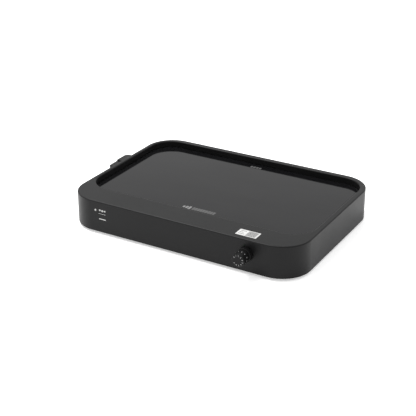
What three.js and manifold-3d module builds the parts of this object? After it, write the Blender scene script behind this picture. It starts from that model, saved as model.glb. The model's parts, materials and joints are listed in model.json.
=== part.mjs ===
// Electric hot plate with a framed glass top, a thermostat knob and a side power inlet.
// Millimetres, +Z up. The long side runs along X and the knob faces -Y.
// The origin is on the table, under the middle of the whole object's box.
import * as THREE from "three";
import { mergeVertices } from "three/addons/utils/BufferGeometryUtils.js";
import Module from "manifold-3d";

// Driving dimensions
const SHELL_LENGTH = 420;
const SHELL_DEPTH = 300;
const SHELL_HEIGHT = 54;
const CORNER_RADIUS = 50;
const CORNER_STEPS = 9;
const FOOT_HEIGHT = 4;
const WALL = 2.6;
const GAP = 0.3;

// The recess for the glass lies behind a wide deck at the front, inside narrow rims on the other sides
const DECK_DEPTH = 49;
const RIM_LEFT = 7.8;
const RIM_RIGHT = 10.4;
const RIM_BACK = 10.4;
const RECESS_RADIUS = 40;
const RECESS_DEPTH = 10.4;
const RECESS_DRAFT = 0.3;
const RIM_FILLET = 2;
const LEDGE_WIDTH = 13;
const LEDGE_THICKNESS = 2.6;
const BOTTOM_FILLET = 1.2;

// The glass and its seal
const GLASS_THICKNESS = 4;
const GLASS_CLEARANCE = 1.6;
const SEAL_THICKNESS = 0.8;

// The heater under the glass
const HEATER_INSET = 31;
const HEATER_CORNER = 8;
const RIBBON_WIDTH = 6;
const RIBBON_PITCH = 14;
const RIBBON_RUNS = 12;

// The control at the front
const KNOB_X = 125.2;
const KNOB_HEIGHT = 34;
const KNOB_REACH = 25.1;
const KNOB_RADIUS = 10.5;
const COLLAR_RADIUS = 12;
const COLLAR_REACH = 7.9;
const SHAFT_RADIUS = 3;
const NECK_RADIUS = 4.2;
const LENS_X = 121.9;
const LENS_HEIGHT = 48.2;
const LENS_RADIUS = 1.7;

// The power inlet on the left
const INLET_REACH = 12;
const INLET_TOP = 56;
const INLET_FRONT = -9;
const INLET_STEP = 15;
const INLET_BACK = 46;
const INLET_ROUND = 8;
const WING_TOP = 54.5;
const INLET_Y = 18;
const INLET_Z = 28;
const SOCKET_WIDTH = 24;
const SOCKET_HEIGHT = 16;
const SOCKET_DEPTH = 17;

// Heights that follow from the dimensions above
const SHELL_BOTTOM = FOOT_HEIGHT;
const SHELL_TOP = SHELL_BOTTOM + SHELL_HEIGHT;
const GLASS_TOP = SHELL_TOP - RECESS_DEPTH;
const GLASS_BOTTOM = GLASS_TOP - GLASS_THICKNESS;
const LEDGE_TOP = GLASS_BOTTOM - SEAL_THICKNESS - 2 * GAP;
const LEDGE_BOTTOM = LEDGE_TOP - LEDGE_THICKNESS;
const PAN_BOTTOM = SHELL_BOTTOM + 1;
const PAN_TOP = PAN_BOTTOM + 1.6;
const TRAY_TOP = GLASS_BOTTOM - 4.8;
const TRAY_BOTTOM = TRAY_TOP - 9.6;
const BAR_TOP = TRAY_BOTTOM - 4.3;
const BAR_BOTTOM = BAR_TOP - 1.2;
const FRONT_Y = -SHELL_DEPTH / 2;
const LEFT_X = -SHELL_LENGTH / 2;

// The plans of the shell and of the recess, seen from above
const SHELL = { x: 0, y: 0, length: SHELL_LENGTH, depth: SHELL_DEPTH, radius: CORNER_RADIUS };
const RECESS = {
  x: (RIM_LEFT - RIM_RIGHT) / 2,
  y: (DECK_DEPTH - RIM_BACK) / 2,
  length: SHELL_LENGTH - RIM_LEFT - RIM_RIGHT,
  depth: SHELL_DEPTH - DECK_DEPTH - RIM_BACK,
  radius: RECESS_RADIUS,
};

// Places that several pieces share
const CORNER_SIGNS = [[-1, -1], [1, -1], [1, 1], [-1, 1]];
const BOSS_INSET = 14;
const BASE_BOSSES = CORNER_SIGNS.map(([sx, sy]) => [160 * sx, sy * (SHELL_DEPTH / 2 - BOSS_INSET)]);
const BAR_X = 90;
const BAR_FRONT = RECESS.y - RECESS.depth / 2 + 6;
const BAR_BACK = RECESS.y + RECESS.depth / 2 - 6;
const BAR_BOSSES = CORNER_SIGNS.map(([sx, sy]) => [BAR_X * sx, sy < 0 ? BAR_FRONT : BAR_BACK]);
const FOOT_PLACES = CORNER_SIGNS.map(([sx, sy]) => [165 * sx, 105 * sy]);
const INLET_SCREWS = [[INLET_Y - 21, INLET_Z], [INLET_Y + 21, INLET_Z]];
const BRACKET_SCREWS = [[KNOB_X - 12, -124], [KNOB_X + 12, -124]];
const EARTH_PLACE = [-168, -24];

const wasm = await Module();
wasm.setup();

// Colours and surfaces
const PAINTS = {
  housing: [0x242425, 0.5, 0],
  glass: [0x131416, 0.08, 0],
  silicone: [0x0e0e0f, 0.7, 0],
  steel: [0xa8aaac, 0.35, 0.9],
  aluminium: [0xc6c8ca, 0.4, 0.9],
  mica: [0xb49a72, 0.6, 0],
  ribbon: [0x8a8480, 0.4, 0.9],
  blanket: [0xe6e3da, 0.95, 0],
  thermostat: [0xdcd6c8, 0.55, 0],
  knob: [0x1b1b1c, 0.42, 0],
  brass: [0xb5933f, 0.35, 0.9],
  lens: [0x23382c, 0.15, 0],
  ceramic: [0xeeeae0, 0.45, 0],
  copper: [0xa9633b, 0.4, 0.9],
  rubber: [0x141414, 0.85, 0],
  wireBrown: [0x5a3420, 0.6, 0],
  wireBlue: [0x2a4a86, 0.6, 0],
  wireGreen: [0x3f7a35, 0.6, 0],
  wireWhite: [0xd8d4ca, 0.7, 0],
};

const shell = new THREE.Group();

// Adds a named piece, made of a geometry or of a solid, to the shell's group.
function addPiece(name, shape, paint) {
  const [color, roughness, metalness] = PAINTS[paint];
  const geometry = shape.isBufferGeometry ? shape : toGeometry(shape);
  const piece = new THREE.Mesh(geometry, new THREE.MeshStandardMaterial({ color, roughness, metalness }));
  piece.name = name;
  shell.add(piece);
  return piece;
}

// A closed geometry as a solid that can be cut and joined.
function toSolid(geometry) {
  const loose = geometry.index ? geometry.toNonIndexed() : geometry;
  const bare = new THREE.BufferGeometry();
  bare.setAttribute("position", loose.getAttribute("position"));
  const merged = mergeVertices(bare, 1e-4);
  const vertProperties = merged.getAttribute("position").array;
  const triVerts = new Uint32Array(merged.index.array);
  return new wasm.Manifold(new wasm.Mesh({ numProp: 3, vertProperties, triVerts }));
}

function toGeometry(solid) {
  const { vertProperties, triVerts } = solid.getMesh();
  const geometry = new THREE.BufferGeometry();
  geometry.setAttribute("position", new THREE.BufferAttribute(vertProperties, 3));
  geometry.setIndex(new THREE.BufferAttribute(triVerts, 1));
  geometry.computeVertexNormals();
  return geometry;
}

function join(geometries) {
  return geometries.map(toSolid).reduce((whole, part) => whole.add(part));
}

function cut(solid, geometries) {
  return geometries.map(toSolid).reduce((whole, tool) => whole.subtract(tool), solid);
}

// A box given by its lowest and highest corners.
function boxBetween([x0, y0, z0], [x1, y1, z1]) {
  const geometry = new THREE.BoxGeometry(x1 - x0, y1 - y0, z1 - z0);
  return geometry.translate((x0 + x1) / 2, (y0 + y1) / 2, (z0 + z1) / 2);
}

// A turned body about Z. The profile's points are [radius, height], from the bottom of the axis to its top.
function turned(profile, sides) {
  const points = profile.map(([radius, height]) => new THREE.Vector2(radius, height));
  return new THREE.LatheGeometry(points, sides).rotateX(Math.PI / 2);
}

function rod(radius, bottom, top, sides = 12) {
  return turned([[0, bottom], [radius, bottom], [radius, top], [0, top]], sides);
}

// Turns a body made about Z so that its +Z end points forward, to -Y.
function facingFront(geometry) {
  return geometry.rotateX(Math.PI / 2);
}

// Turns a body made about Z so that its +Z end points left, to -X.
function facingLeft(geometry) {
  return geometry.rotateY(-Math.PI / 2);
}

// Points of an arc in a profile, from one angle to another in degrees.
function arc(centreU, centreV, radius, from, to, steps) {
  return Array.from({ length: steps + 1 }, (_, i) => {
    const angle = THREE.MathUtils.degToRad(from + ((to - from) * i) / steps);
    return [centreU + radius * Math.cos(angle), centreV + radius * Math.sin(angle)];
  });
}

// The rounded outline of a plan, moved inwards by inset, at height z. All loops have equally many points.
function outline(plan, inset, z) {
  const starts = [[1, 1, 0], [-1, 1, 90], [-1, -1, 180], [1, -1, 270]];
  return starts.flatMap(([sx, sy, from]) => {
    const centreX = plan.x + sx * (plan.length / 2 - plan.radius);
    const centreY = plan.y + sy * (plan.depth / 2 - plan.radius);
    const points = arc(centreX, centreY, plan.radius - inset, from, from + 90, CORNER_STEPS);
    return points.map(([x, y]) => [x, y, z]);
  });
}

// The outlines of one plan, one for each [inset, height] of a profile.
function outlines(plan, profile) {
  return profile.map(([inset, z]) => outline(plan, inset, z));
}

// The faces between each loop and the next.
function sweepFaces(loops, closed) {
  const size = loops[0].length;
  const faces = [];
  const last = closed ? loops.length : loops.length - 1;
  for (let i = 0; i < last; i++) {
    const here = i * size;
    const next = ((i + 1) % loops.length) * size;
    for (let j = 0; j < size; j++) {
      const k = (j + 1) % size;
      faces.push(here + j, here + k, next + k, here + j, next + k, next + j);
    }
  }
  return faces;
}

function loopsGeometry(loops, faces) {
  const geometry = new THREE.BufferGeometry();
  geometry.setAttribute("position", new THREE.Float32BufferAttribute(loops.flat(2), 3));
  geometry.setIndex(faces);
  geometry.computeVertexNormals();
  return geometry;
}

// A frame through closed loops that climb its outer side, cross its top inwards and come down its inner side.
function frameBody(loops) {
  return loopsGeometry(loops, sweepFaces(loops, true));
}

// A tray or plate through loops that start at the edge of its underside.
function trayBody(loops) {
  const size = loops[0].length;
  const top = (loops.length - 1) * size;
  const faces = sweepFaces(loops, false);
  for (let j = 1; j < size - 1; j++) {
    faces.push(0, j + 1, j);
    faces.push(top, top + j, top + j + 1);
  }
  return loopsGeometry(loops, faces);
}

// A flat plate with rounded corners, centred on the Z axis.
function roundedPlate(width, depth, radius, bottom, top, curveSegments = 3) {
  const shape = roundedShape(width, depth, radius);
  const height = top - bottom;
  const geometry = new THREE.ExtrudeGeometry(shape, { depth: height, bevelEnabled: false, curveSegments });
  return geometry.translate(0, 0, bottom);
}

function roundedShape(width, depth, radius) {
  const a = width / 2 - radius;
  const b = depth / 2 - radius;
  const shape = new THREE.Shape();
  shape.absarc(a, b, radius, 0, Math.PI / 2);
  shape.absarc(-a, b, radius, Math.PI / 2, Math.PI);
  shape.absarc(-a, -b, radius, Math.PI, 1.5 * Math.PI);
  shape.absarc(a, -b, radius, 1.5 * Math.PI, 2 * Math.PI);
  return shape;
}

// A flat section, with points as [first, second], extruded from 0 along the third direction.
function extruded(points, length) {
  const shape = new THREE.Shape(points.map(([u, v]) => new THREE.Vector2(u, v)));
  return new THREE.ExtrudeGeometry(shape, { depth: length, bevelEnabled: false });
}

// A round wire or tube, eight-sided, along a smooth curve through the given points.
function wire(points, radius, steps) {
  const curve = new THREE.CatmullRomCurve3(points.map((p) => new THREE.Vector3(...p)));
  const section = new THREE.Shape();
  section.absarc(0, 0, radius, 0, 2 * Math.PI);
  return new THREE.ExtrudeGeometry(section, {
    steps,
    curveSegments: 4,
    bevelEnabled: false,
    extrudePath: curve,
  });
}

// A pan-head screw standing on z = 0 of its seat, head up, with its shank below.
function screw(headRadius, headHeight, shankRadius, shankLength) {
  const profile = [
    [0, -shankLength],
    [shankRadius * 0.5, -shankLength],
    [shankRadius, -shankLength + shankRadius],
    [shankRadius, 0],
    [headRadius, 0],
    [headRadius, headHeight * 0.5],
    [headRadius * 0.7, headHeight],
    [0, headHeight],
  ];
  return turned(profile, 10);
}

// The moulded upper housing: side walls, rim, front deck, recess wall and the ledge that carries the glass.
function makeUpperHousing() {
  const underRim = SHELL_TOP - WALL;
  const filletEnd = -RECESS_DRAFT - RIM_FILLET;
  const outside = [
    [WALL, SHELL_BOTTOM],
    ...arc(BOTTOM_FILLET, SHELL_BOTTOM + BOTTOM_FILLET, BOTTOM_FILLET, 270, 180, 2),
    ...arc(RIM_FILLET, SHELL_TOP - RIM_FILLET, RIM_FILLET, 180, 90, 4),
  ];
  const recess = [
    ...arc(filletEnd, SHELL_TOP - RIM_FILLET, RIM_FILLET, 90, 0, 4),
    [0, LEDGE_TOP],
    [LEDGE_WIDTH, LEDGE_TOP],
    [LEDGE_WIDTH, LEDGE_BOTTOM],
    [filletEnd, LEDGE_BOTTOM],
    [filletEnd - GAP, underRim],
  ];
  const innerEdge = outline(SHELL, WALL, underRim);
  const frame = frameBody([...outlines(SHELL, outside), ...outlines(RECESS, recess), innerEdge]);
  const postTop = (y) => (y < BAR_FRONT ? underRim : LEDGE_BOTTOM) + 1;
  const posts = [
    ...BASE_BOSSES.map(([x, y]) => rod(4.5, PAN_TOP + GAP, postTop(y), 10).translate(x, y, 0)),
    ...BAR_BOSSES.map(([x, y]) => rod(4.5, BAR_TOP + GAP, postTop(y), 10).translate(x, y, 0)),
  ];
  const pilots = [
    ...BASE_BOSSES.map(([x, y]) => rod(1.9, PAN_TOP - 1, 24, 8).translate(x, y, 0)),
    ...BAR_BOSSES.map(([x, y]) => rod(1.9, BAR_TOP - 1, BAR_TOP + 11.5, 8).translate(x, y, 0)),
  ];
  const screwHoles = INLET_SCREWS.map(([y, z]) => facingLeft(rod(1.8, -4, 4)).translate(LEFT_X, y, z));
  const window = boxBetween(
    [LEFT_X - 2, INLET_Y - SOCKET_WIDTH / 2 - 2.4, INLET_Z - SOCKET_HEIGHT / 2 - 2.4],
    [LEFT_X + 6, INLET_Y + SOCKET_WIDTH / 2 + 2.4, INLET_Z + SOCKET_HEIGHT / 2 + 2.4],
  );
  const shaftHole = facingFront(rod(6.6, -4, 4, 24)).translate(KNOB_X, FRONT_Y, KNOB_HEIGHT);
  const lensHole = facingFront(rod(LENS_RADIUS + GAP, -4, 4)).translate(LENS_X, FRONT_Y, LENS_HEIGHT);
  const body = join([frame, ...posts]);
  return cut(body, [...pilots, ...screwHoles, window, shaftHole, lensHole]);
}

// The pressed base pan: a shallow tray with air slots, and holes for its feet and screws.
function makeBasePan() {
  const edge = WALL + 0.4;
  const lipTop = PAN_TOP + 7;
  const tray = trayBody(outlines(SHELL, [
    [edge, PAN_BOTTOM],
    [edge, lipTop],
    [edge + 1.4, lipTop],
    [edge + 1.4, PAN_TOP],
  ]));
  const below = PAN_BOTTOM - 1;
  const above = PAN_TOP + 1;
  const slots = [];
  for (const bankX of [-62, 62]) {
    for (let i = -3; i <= 3; i++) {
      slots.push(roundedPlate(64, 5, 2.49, below, above, 1).translate(bankX, i * 14, 0));
    }
  }
  const holes = [
    ...BASE_BOSSES.map(([x, y]) => rod(2, below, above).translate(x, y, 0)),
    ...FOOT_PLACES.map(([x, y]) => rod(4.3, below, above).translate(x, y, 0)),
    ...BRACKET_SCREWS.map(([x, y]) => rod(1.8, below, above).translate(x, y, 0)),
    rod(1.8, below, above).translate(...EARTH_PLACE, 0),
  ];
  return cut(toSolid(tray), [...slots, ...holes]);
}

function makeFoot() {
  const ceiling = PAN_BOTTOM - GAP;
  const barb = PAN_TOP + GAP;
  const profile = [
    [0, 0],
    [9, 0],
    [10, 0.8],
    [10.5, ceiling],
    [3.9, ceiling],
    [3.9, barb],
    [5.4, barb + 0.4],
    [3.6, barb + 3],
    [0, barb + 3],
  ];
  return turned(profile, 20);
}

function makeGlassPanel() {
  const chamfer = 0.5;
  return trayBody(outlines(RECESS, [
    [GLASS_CLEARANCE + chamfer, GLASS_BOTTOM],
    [GLASS_CLEARANCE, GLASS_BOTTOM + chamfer],
    [GLASS_CLEARANCE, GLASS_TOP - chamfer],
    [GLASS_CLEARANCE + chamfer, GLASS_TOP],
  ]));
}

// The silicone seal has an L section: a bed under the glass and a lip beside its edge.
function makeGlassSeal() {
  const bedBottom = LEDGE_TOP + GAP;
  const bedTop = bedBottom + SEAL_THICKNESS;
  const lipTop = GLASS_TOP - 0.8;
  return frameBody(outlines(RECESS, [
    [GAP, bedBottom],
    [GAP, lipTop],
    [GLASS_CLEARANCE - GAP, lipTop],
    [GLASS_CLEARANCE - GAP, bedTop],
    [LEDGE_WIDTH - 0.6, bedTop],
    [LEDGE_WIDTH - 0.6, bedBottom],
  ]));
}

const heaterLength = RECESS.length - 2 * HEATER_INSET;
const heaterDepth = RECESS.depth - 2 * HEATER_INSET;
const heaterFront = RECESS.y - heaterDepth / 2;
const heaterBack = RECESS.y + heaterDepth / 2;

function heaterPlate(bottom, top, margin) {
  const plate = roundedPlate(heaterLength - 2 * margin, heaterDepth - 2 * margin, HEATER_CORNER, bottom, top);
  return plate.translate(0, RECESS.y, 0);
}

// The runs of each ribbon lie in the middle of its half of the heater.
const ribbonSpan = (RIBBON_RUNS - 1) * RIBBON_PITCH;
const ribbonFirstX = heaterLength / 4 - ribbonSpan / 2;
const ribbonLastX = ribbonFirstX + ribbonSpan;

// One half of the heating element: a flat ribbon that runs to and fro, with a connection tab at each end.
function makeHeatingRibbon(side, bottom, top) {
  const tabReach = 8;
  const halfTab = 2;
  const frontY = heaterFront + 12;
  const backY = heaterBack - 12;
  const halfWidth = RIBBON_WIDTH / 2;
  const strip = (x0, x1, y0, y1) =>
    boxBetween([Math.min(side * x0, side * x1), y0, bottom], [Math.max(side * x0, side * x1), y1, top]);
  const pieces = [];
  for (let i = 0; i < RIBBON_RUNS; i++) {
    const x = ribbonFirstX + i * RIBBON_PITCH;
    pieces.push(strip(x - halfWidth, x + halfWidth, frontY, backY));
    if (i < RIBBON_RUNS - 1) {
      const y = i % 2 === 0 ? backY - halfWidth : frontY + halfWidth;
      pieces.push(strip(x - halfWidth, x + RIBBON_PITCH + halfWidth, y - halfWidth, y + halfWidth));
    }
  }
  for (const x of [ribbonFirstX, ribbonLastX]) {
    pieces.push(strip(x - halfTab, x + halfTab, heaterFront - tabReach, frontY + 1));
  }
  return join(pieces);
}

// The steel tray that holds the insulation against the heater.
function makeHeaterTray() {
  const outer = heaterPlate(TRAY_BOTTOM, TRAY_TOP, -1);
  const inner = heaterPlate(TRAY_BOTTOM + 1, TRAY_TOP + 1, 0);
  return cut(toSolid(outer), [inner]);
}

function addHeater() {
  const lowerMica = TRAY_TOP + 0.6;
  const ribbon = lowerMica + 0.8;
  const upperMica = ribbon + 0.8;
  const spreader = upperMica + 0.8;
  addPiece("heat_spreader", heaterPlate(spreader, GLASS_BOTTOM - GAP, 0), "aluminium");
  addPiece("mica_sheet_upper", heaterPlate(upperMica, upperMica + 0.5, 0), "mica");
  addPiece("mica_sheet_lower", heaterPlate(lowerMica, lowerMica + 0.5, 0), "mica");
  addPiece("heating_ribbon_left", makeHeatingRibbon(-1, ribbon, ribbon + 0.5), "ribbon");
  addPiece("heating_ribbon_right", makeHeatingRibbon(1, ribbon, ribbon + 0.5), "ribbon");
  addPiece("insulation_blanket", heaterPlate(TRAY_BOTTOM + 1.3, TRAY_TOP, 1), "blanket");
  addPiece("heater_tray", makeHeaterTray(), "steel");
  return ribbon;
}

// A steel bar across the housing, screwed to two posts, that carries the heater's springs.
function makeCrossBar() {
  const bar = boxBetween([-8, BAR_FRONT - 6, BAR_BOTTOM], [8, BAR_BACK + 6, BAR_TOP]);
  const holes = [BAR_FRONT, BAR_BACK].map((y) => rod(1.9, BAR_BOTTOM - 1, BAR_TOP + 1).translate(0, y, 0));
  return cut(toSolid(bar), holes);
}

// A bowed leaf spring that stands on a cross bar and presses the heater tray up.
function makePressureSpring() {
  const thickness = 0.6;
  const halfSpan = 26;
  const rise = TRAY_BOTTOM - BAR_TOP - 2 * GAP - thickness;
  const steps = 10;
  const bow = (offset) =>
    Array.from({ length: steps + 1 }, (_, i) => {
      const t = (2 * i) / steps - 1;
      return [t * halfSpan, BAR_TOP + GAP + offset + rise * (1 - t * t)];
    });
  const section = [...bow(0), ...bow(thickness).reverse()];
  return extruded(section, 9).rotateX(Math.PI / 2).rotateZ(Math.PI / 2).translate(-4.5, 0, 0);
}

function addSupports() {
  for (const [side, word] of [[-1, "left"], [1, "right"]]) {
    addPiece(`cross_bar_${word}`, makeCrossBar(), "steel").position.x = side * BAR_X;
  }
  CORNER_SIGNS.forEach(([sx, sy], i) => {
    const spring = addPiece(`pressure_spring_${i + 1}`, makePressureSpring(), "steel");
    spring.position.set(sx * BAR_X, RECESS.y + sy * 52, 0);
  });
  BAR_BOSSES.forEach(([x, y], i) => {
    const piece = addPiece(`bar_screw_${i + 1}`, screw(3, 2, 1.5, 10), "steel");
    piece.rotation.x = Math.PI;
    piece.position.set(x, y, BAR_BOTTOM - GAP);
  });
}

function addBase() {
  addPiece("base_pan", makeBasePan(), "steel");
  FOOT_PLACES.forEach(([x, y], i) => {
    addPiece(`foot_${i + 1}`, makeFoot(), "rubber").position.set(x, y, 0);
  });
  BASE_BOSSES.forEach(([x, y], i) => {
    const piece = addPiece(`base_screw_${i + 1}`, screw(3.2, 1.6, 1.5, 14), "steel");
    piece.rotation.x = Math.PI;
    piece.position.set(x, y, PAN_BOTTOM - GAP);
  });
}

const THERMOSTAT_FRONT = -141.5;
const THERMOSTAT_BACK = -116;

// The thermostat's case, with a hollow neck for the control shaft.
function makeThermostatBody() {
  const width = 34;
  const height = 26;
  const centreZ = 27;
  const depth = THERMOSTAT_BACK - THERMOSTAT_FRONT;
  const shape = roundedShape(width, height, 3);
  const block = new THREE.ExtrudeGeometry(shape, { depth, bevelEnabled: false, curveSegments: 3 });
  facingFront(block).translate(KNOB_X, THERMOSTAT_BACK, centreZ);
  const neckRoot = FRONT_Y - THERMOSTAT_FRONT - 1;
  const neck = facingFront(rod(NECK_RADIUS, neckRoot, 0.5, 16)).translate(KNOB_X, FRONT_Y, KNOB_HEIGHT);
  const bore = facingFront(rod(SHAFT_RADIUS + GAP, -22, 2, 16)).translate(KNOB_X, FRONT_Y, KNOB_HEIGHT);
  return cut(join([block, neck]), [bore]);
}

// A hexagonal nut that clamps the thermostat's neck to its bracket.
function makeThermostatNut() {
  const nut = facingFront(rod(7, 0, 3.2, 6));
  const hole = facingFront(rod(NECK_RADIUS + GAP, -1, 4.2, 16));
  return cut(toSolid(nut), [hole]);
}

function makeThermostatBracket() {
  const halfWidth = 19;
  const plateFront = THERMOSTAT_FRONT - GAP - 1.2;
  const plateBack = THERMOSTAT_FRONT - GAP;
  const bottom = PAN_TOP + GAP;
  const footTop = bottom + 1.2;
  const plate = boxBetween([KNOB_X - halfWidth, plateFront, bottom], [KNOB_X + halfWidth, plateBack, 41]);
  const foot = boxBetween([KNOB_X - halfWidth, plateFront, bottom], [KNOB_X + halfWidth, -118, footTop]);
  const neckHole = facingFront(rod(NECK_RADIUS + GAP, -3, 3, 16)).translate(KNOB_X, plateFront, KNOB_HEIGHT);
  const screwHoles = BRACKET_SCREWS.map(([x, y]) => rod(1.8, PAN_TOP - 1, footTop + 1).translate(x, y, 0));
  return cut(join([plate, foot]), [neckHole, ...screwHoles]);
}

function addThermostat() {
  addPiece("thermostat_body", makeThermostatBody(), "thermostat");
  const nut = addPiece("thermostat_nut", makeThermostatNut(), "brass");
  nut.position.set(KNOB_X, THERMOSTAT_FRONT - 2 * GAP - 1.2, KNOB_HEIGHT);
  addPiece("thermostat_bracket", makeThermostatBracket(), "steel");
  BRACKET_SCREWS.forEach(([x, y], i) => {
    const piece = addPiece(`bracket_screw_${i + 1}`, screw(2.8, 1.6, 1.4, 4.4), "steel");
    piece.position.set(x, y, PAN_TOP + 2 * GAP + 1.2);
  });
  const bulbY = -30;
  const bulbZ = TRAY_BOTTOM - GAP - 2.6;
  addPiece("sensor_bulb", rod(2.2, -30, 30).rotateY(Math.PI / 2).translate(20, bulbY, bulbZ), "copper");
  const route = [
    [113, THERMOSTAT_BACK + 0.5, 30],
    [112.5, -112, 30],
    [104, -108, 29.4],
    [78, -107, 28.2],
    [64, -92, 27],
    [59, -50, 26.4],
    [50.8, bulbY, bulbZ],
  ];
  addPiece("capillary_tube", wire(route, 0.9, 24), "copper");
  addPiece("bulb_clip", makeSaddle(2.2, 12, 5).translate(20, bulbY, bulbZ), "steel");
}

// A saddle clip under a rod of the given radius along X, with a foot on each side above it.
function makeSaddle(radius, width, footWidth) {
  const inner = radius + GAP;
  const outer = inner + 0.8;
  const reach = outer + footWidth;
  const lid = radius + 0.4;
  const section = [
    [-reach, lid],
    [-reach, lid - 0.8],
    [-outer, lid - 0.8],
    ...arc(0, 0, outer, 180, 360, 8),
    [outer, lid - 0.8],
    [reach, lid - 0.8],
    [reach, lid],
    [inner, lid],
    ...arc(0, 0, inner, 360, 180, 8),
    [-inner, lid],
  ];
  return extruded(section, width).rotateX(Math.PI / 2).rotateZ(Math.PI / 2).translate(-width / 2, 0, 0);
}

// The knob, its shaft and its spring clip turn together about an axis along Y.
function makeKnob() {
  const edge = 0.8;
  const rear = COLLAR_REACH + GAP;
  const inside = KNOB_REACH - 2;
  const profile = [
    [0, 21.4],
    [SHAFT_RADIUS + GAP, 21.4],
    [SHAFT_RADIUS + GAP, rear + 1],
    [6, rear + 1],
    [6, inside],
    [KNOB_RADIUS - 1.7, inside],
    [KNOB_RADIUS - 1.7, rear],
    [KNOB_RADIUS, rear],
    ...arc(KNOB_RADIUS - edge, KNOB_REACH - edge, edge, 0, 90, 3),
    [0, KNOB_REACH],
  ];
  return facingFront(turned(profile, 36));
}

function makeControlShaft() {
  const shaft = facingFront(rod(SHAFT_RADIUS, -19, 21, 16));
  const flat = boxBetween([-4, -22, SHAFT_RADIUS - 0.8], [4, -9.5, SHAFT_RADIUS + 1]);
  return cut(toSolid(shaft), [flat]);
}

function makeKnobClip() {
  const ring = facingFront(rod(7, 11, 14, 20));
  const hole = facingFront(rod(6 + GAP, 10, 15, 20));
  const slit = boxBetween([-1, -15, -8], [1, -10, 0]);
  return cut(toSolid(ring), [hole, slit]);
}

function makeDialCollar() {
  const profile = [
    [5, -WALL + GAP],
    [6.2, -WALL + GAP],
    [6.2, GAP],
    [COLLAR_RADIUS, GAP],
    [COLLAR_RADIUS, COLLAR_REACH - 0.7],
    [COLLAR_RADIUS - 0.7, COLLAR_REACH],
    [5, COLLAR_REACH],
    [5, -WALL + GAP],
  ];
  return facingFront(turned(profile, 36));
}

function addControl() {
  for (const [name, shape, paint] of [
    ["knob", makeKnob(), "knob"],
    ["control_shaft", makeControlShaft(), "steel"],
    ["knob_clip", makeKnobClip(), "steel"],
    ["dial_collar", makeDialCollar(), "knob"],
  ]) {
    addPiece(name, shape, paint).position.set(KNOB_X, FRONT_Y, KNOB_HEIGHT);
  }
  const lensRear = -WALL - 0.6;
  const lens = [[0, lensRear], [LENS_RADIUS, lensRear], [LENS_RADIUS, 0], [LENS_RADIUS - 0.5, 0.4], [0, 0.4]];
  const lamp = [[0, -8], [1.2, -8], [1.6, -7.4], [1.6, -4], [0.8, -WALL - 1], [0, -WALL - 1]];
  for (const [name, profile, sides] of [["indicator_lens", lens, 16], ["indicator_lamp", lamp, 12]]) {
    const piece = addPiece(name, facingFront(turned(profile, sides)), "lens");
    piece.position.set(LENS_X, FRONT_Y, LENS_HEIGHT);
  }
}

// The inlet's block has a low front wing and a tall rear part with a rounded end,
// and a sleeve behind it that goes in through the shell's side.
function makeInletHousing() {
  const face = LEFT_X - INLET_REACH;
  const seat = LEFT_X - GAP;
  const bottom = 14;
  const wing = boxBetween([face + 1, INLET_FRONT, bottom], [seat, INLET_STEP + 1, WING_TOP]);
  const plan = new THREE.Shape();
  plan.moveTo(seat, INLET_STEP);
  plan.lineTo(seat, INLET_BACK);
  plan.lineTo(face + INLET_ROUND, INLET_BACK);
  plan.absarc(face + INLET_ROUND, INLET_BACK - INLET_ROUND, INLET_ROUND, Math.PI / 2, Math.PI);
  plan.lineTo(face, INLET_STEP + 1);
  plan.lineTo(face + 1, INLET_STEP);
  const height = INLET_TOP - bottom;
  const main = new THREE.ExtrudeGeometry(plan, { depth: height, bevelEnabled: false, curveSegments: 5 });
  main.translate(0, 0, bottom);
  const halfWidth = SOCKET_WIDTH / 2;
  const halfHeight = SOCKET_HEIGHT / 2;
  const back = face + SOCKET_DEPTH;
  const sleeve = boxBetween(
    [face + 4, INLET_Y - halfWidth - 2, INLET_Z - halfHeight - 2],
    [back + 3, INLET_Y + halfWidth + 2, INLET_Z + halfHeight + 2],
  );
  const socket = boxBetween(
    [face - 2, INLET_Y - halfWidth, INLET_Z - halfHeight],
    [back, INLET_Y + halfWidth, INLET_Z + halfHeight],
  );
  const pinSlots = INLET_PINS.map(([, y, z]) =>
    boxBetween([back - 1, y - 1.3, z - 2.3], [back + 4, y + 1.3, z + 2.3]),
  );
  const screwHoles = INLET_SCREWS.map(([y, z]) => facingLeft(rod(1.8, -2, 14)).translate(LEFT_X, y, z));
  const screwSeats = INLET_SCREWS.map(([y, z]) => facingLeft(rod(3.3, 7, 14)).translate(LEFT_X, y, z));
  return cut(join([wing, main, sleeve]), [socket, ...pinSlots, ...screwHoles, ...screwSeats]);
}

const LIVE_Y = INLET_Y - 7;
const NEUTRAL_Y = INLET_Y + 7;
const INLET_PINS = [
  ["live", LIVE_Y, INLET_Z - 2],
  ["neutral", NEUTRAL_Y, INLET_Z - 2],
  ["earth", INLET_Y, INLET_Z + 3],
];
const PIN_TIP = LEFT_X - INLET_REACH + 5;
const PIN_TAIL = LEFT_X - INLET_REACH + SOCKET_DEPTH + 11;

function addInlet() {
  addPiece("inlet_housing", makeInletHousing(), "housing");
  for (const [word, y, z] of INLET_PINS) {
    addPiece(`inlet_pin_${word}`, boxBetween([PIN_TIP, y - 1, z - 2], [PIN_TAIL, y + 1, z + 2]), "brass");
  }
  INLET_SCREWS.forEach(([y, z], i) => {
    const piece = addPiece(`inlet_screw_${i + 1}`, facingLeft(screw(2.9, 1.8, 1.5, 11)), "steel");
    piece.position.set(LEFT_X - 7 - GAP, y, z);
  });
}

const BLOCK_LEFT = -158;
const BLOCK_RIGHT = -132;

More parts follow.
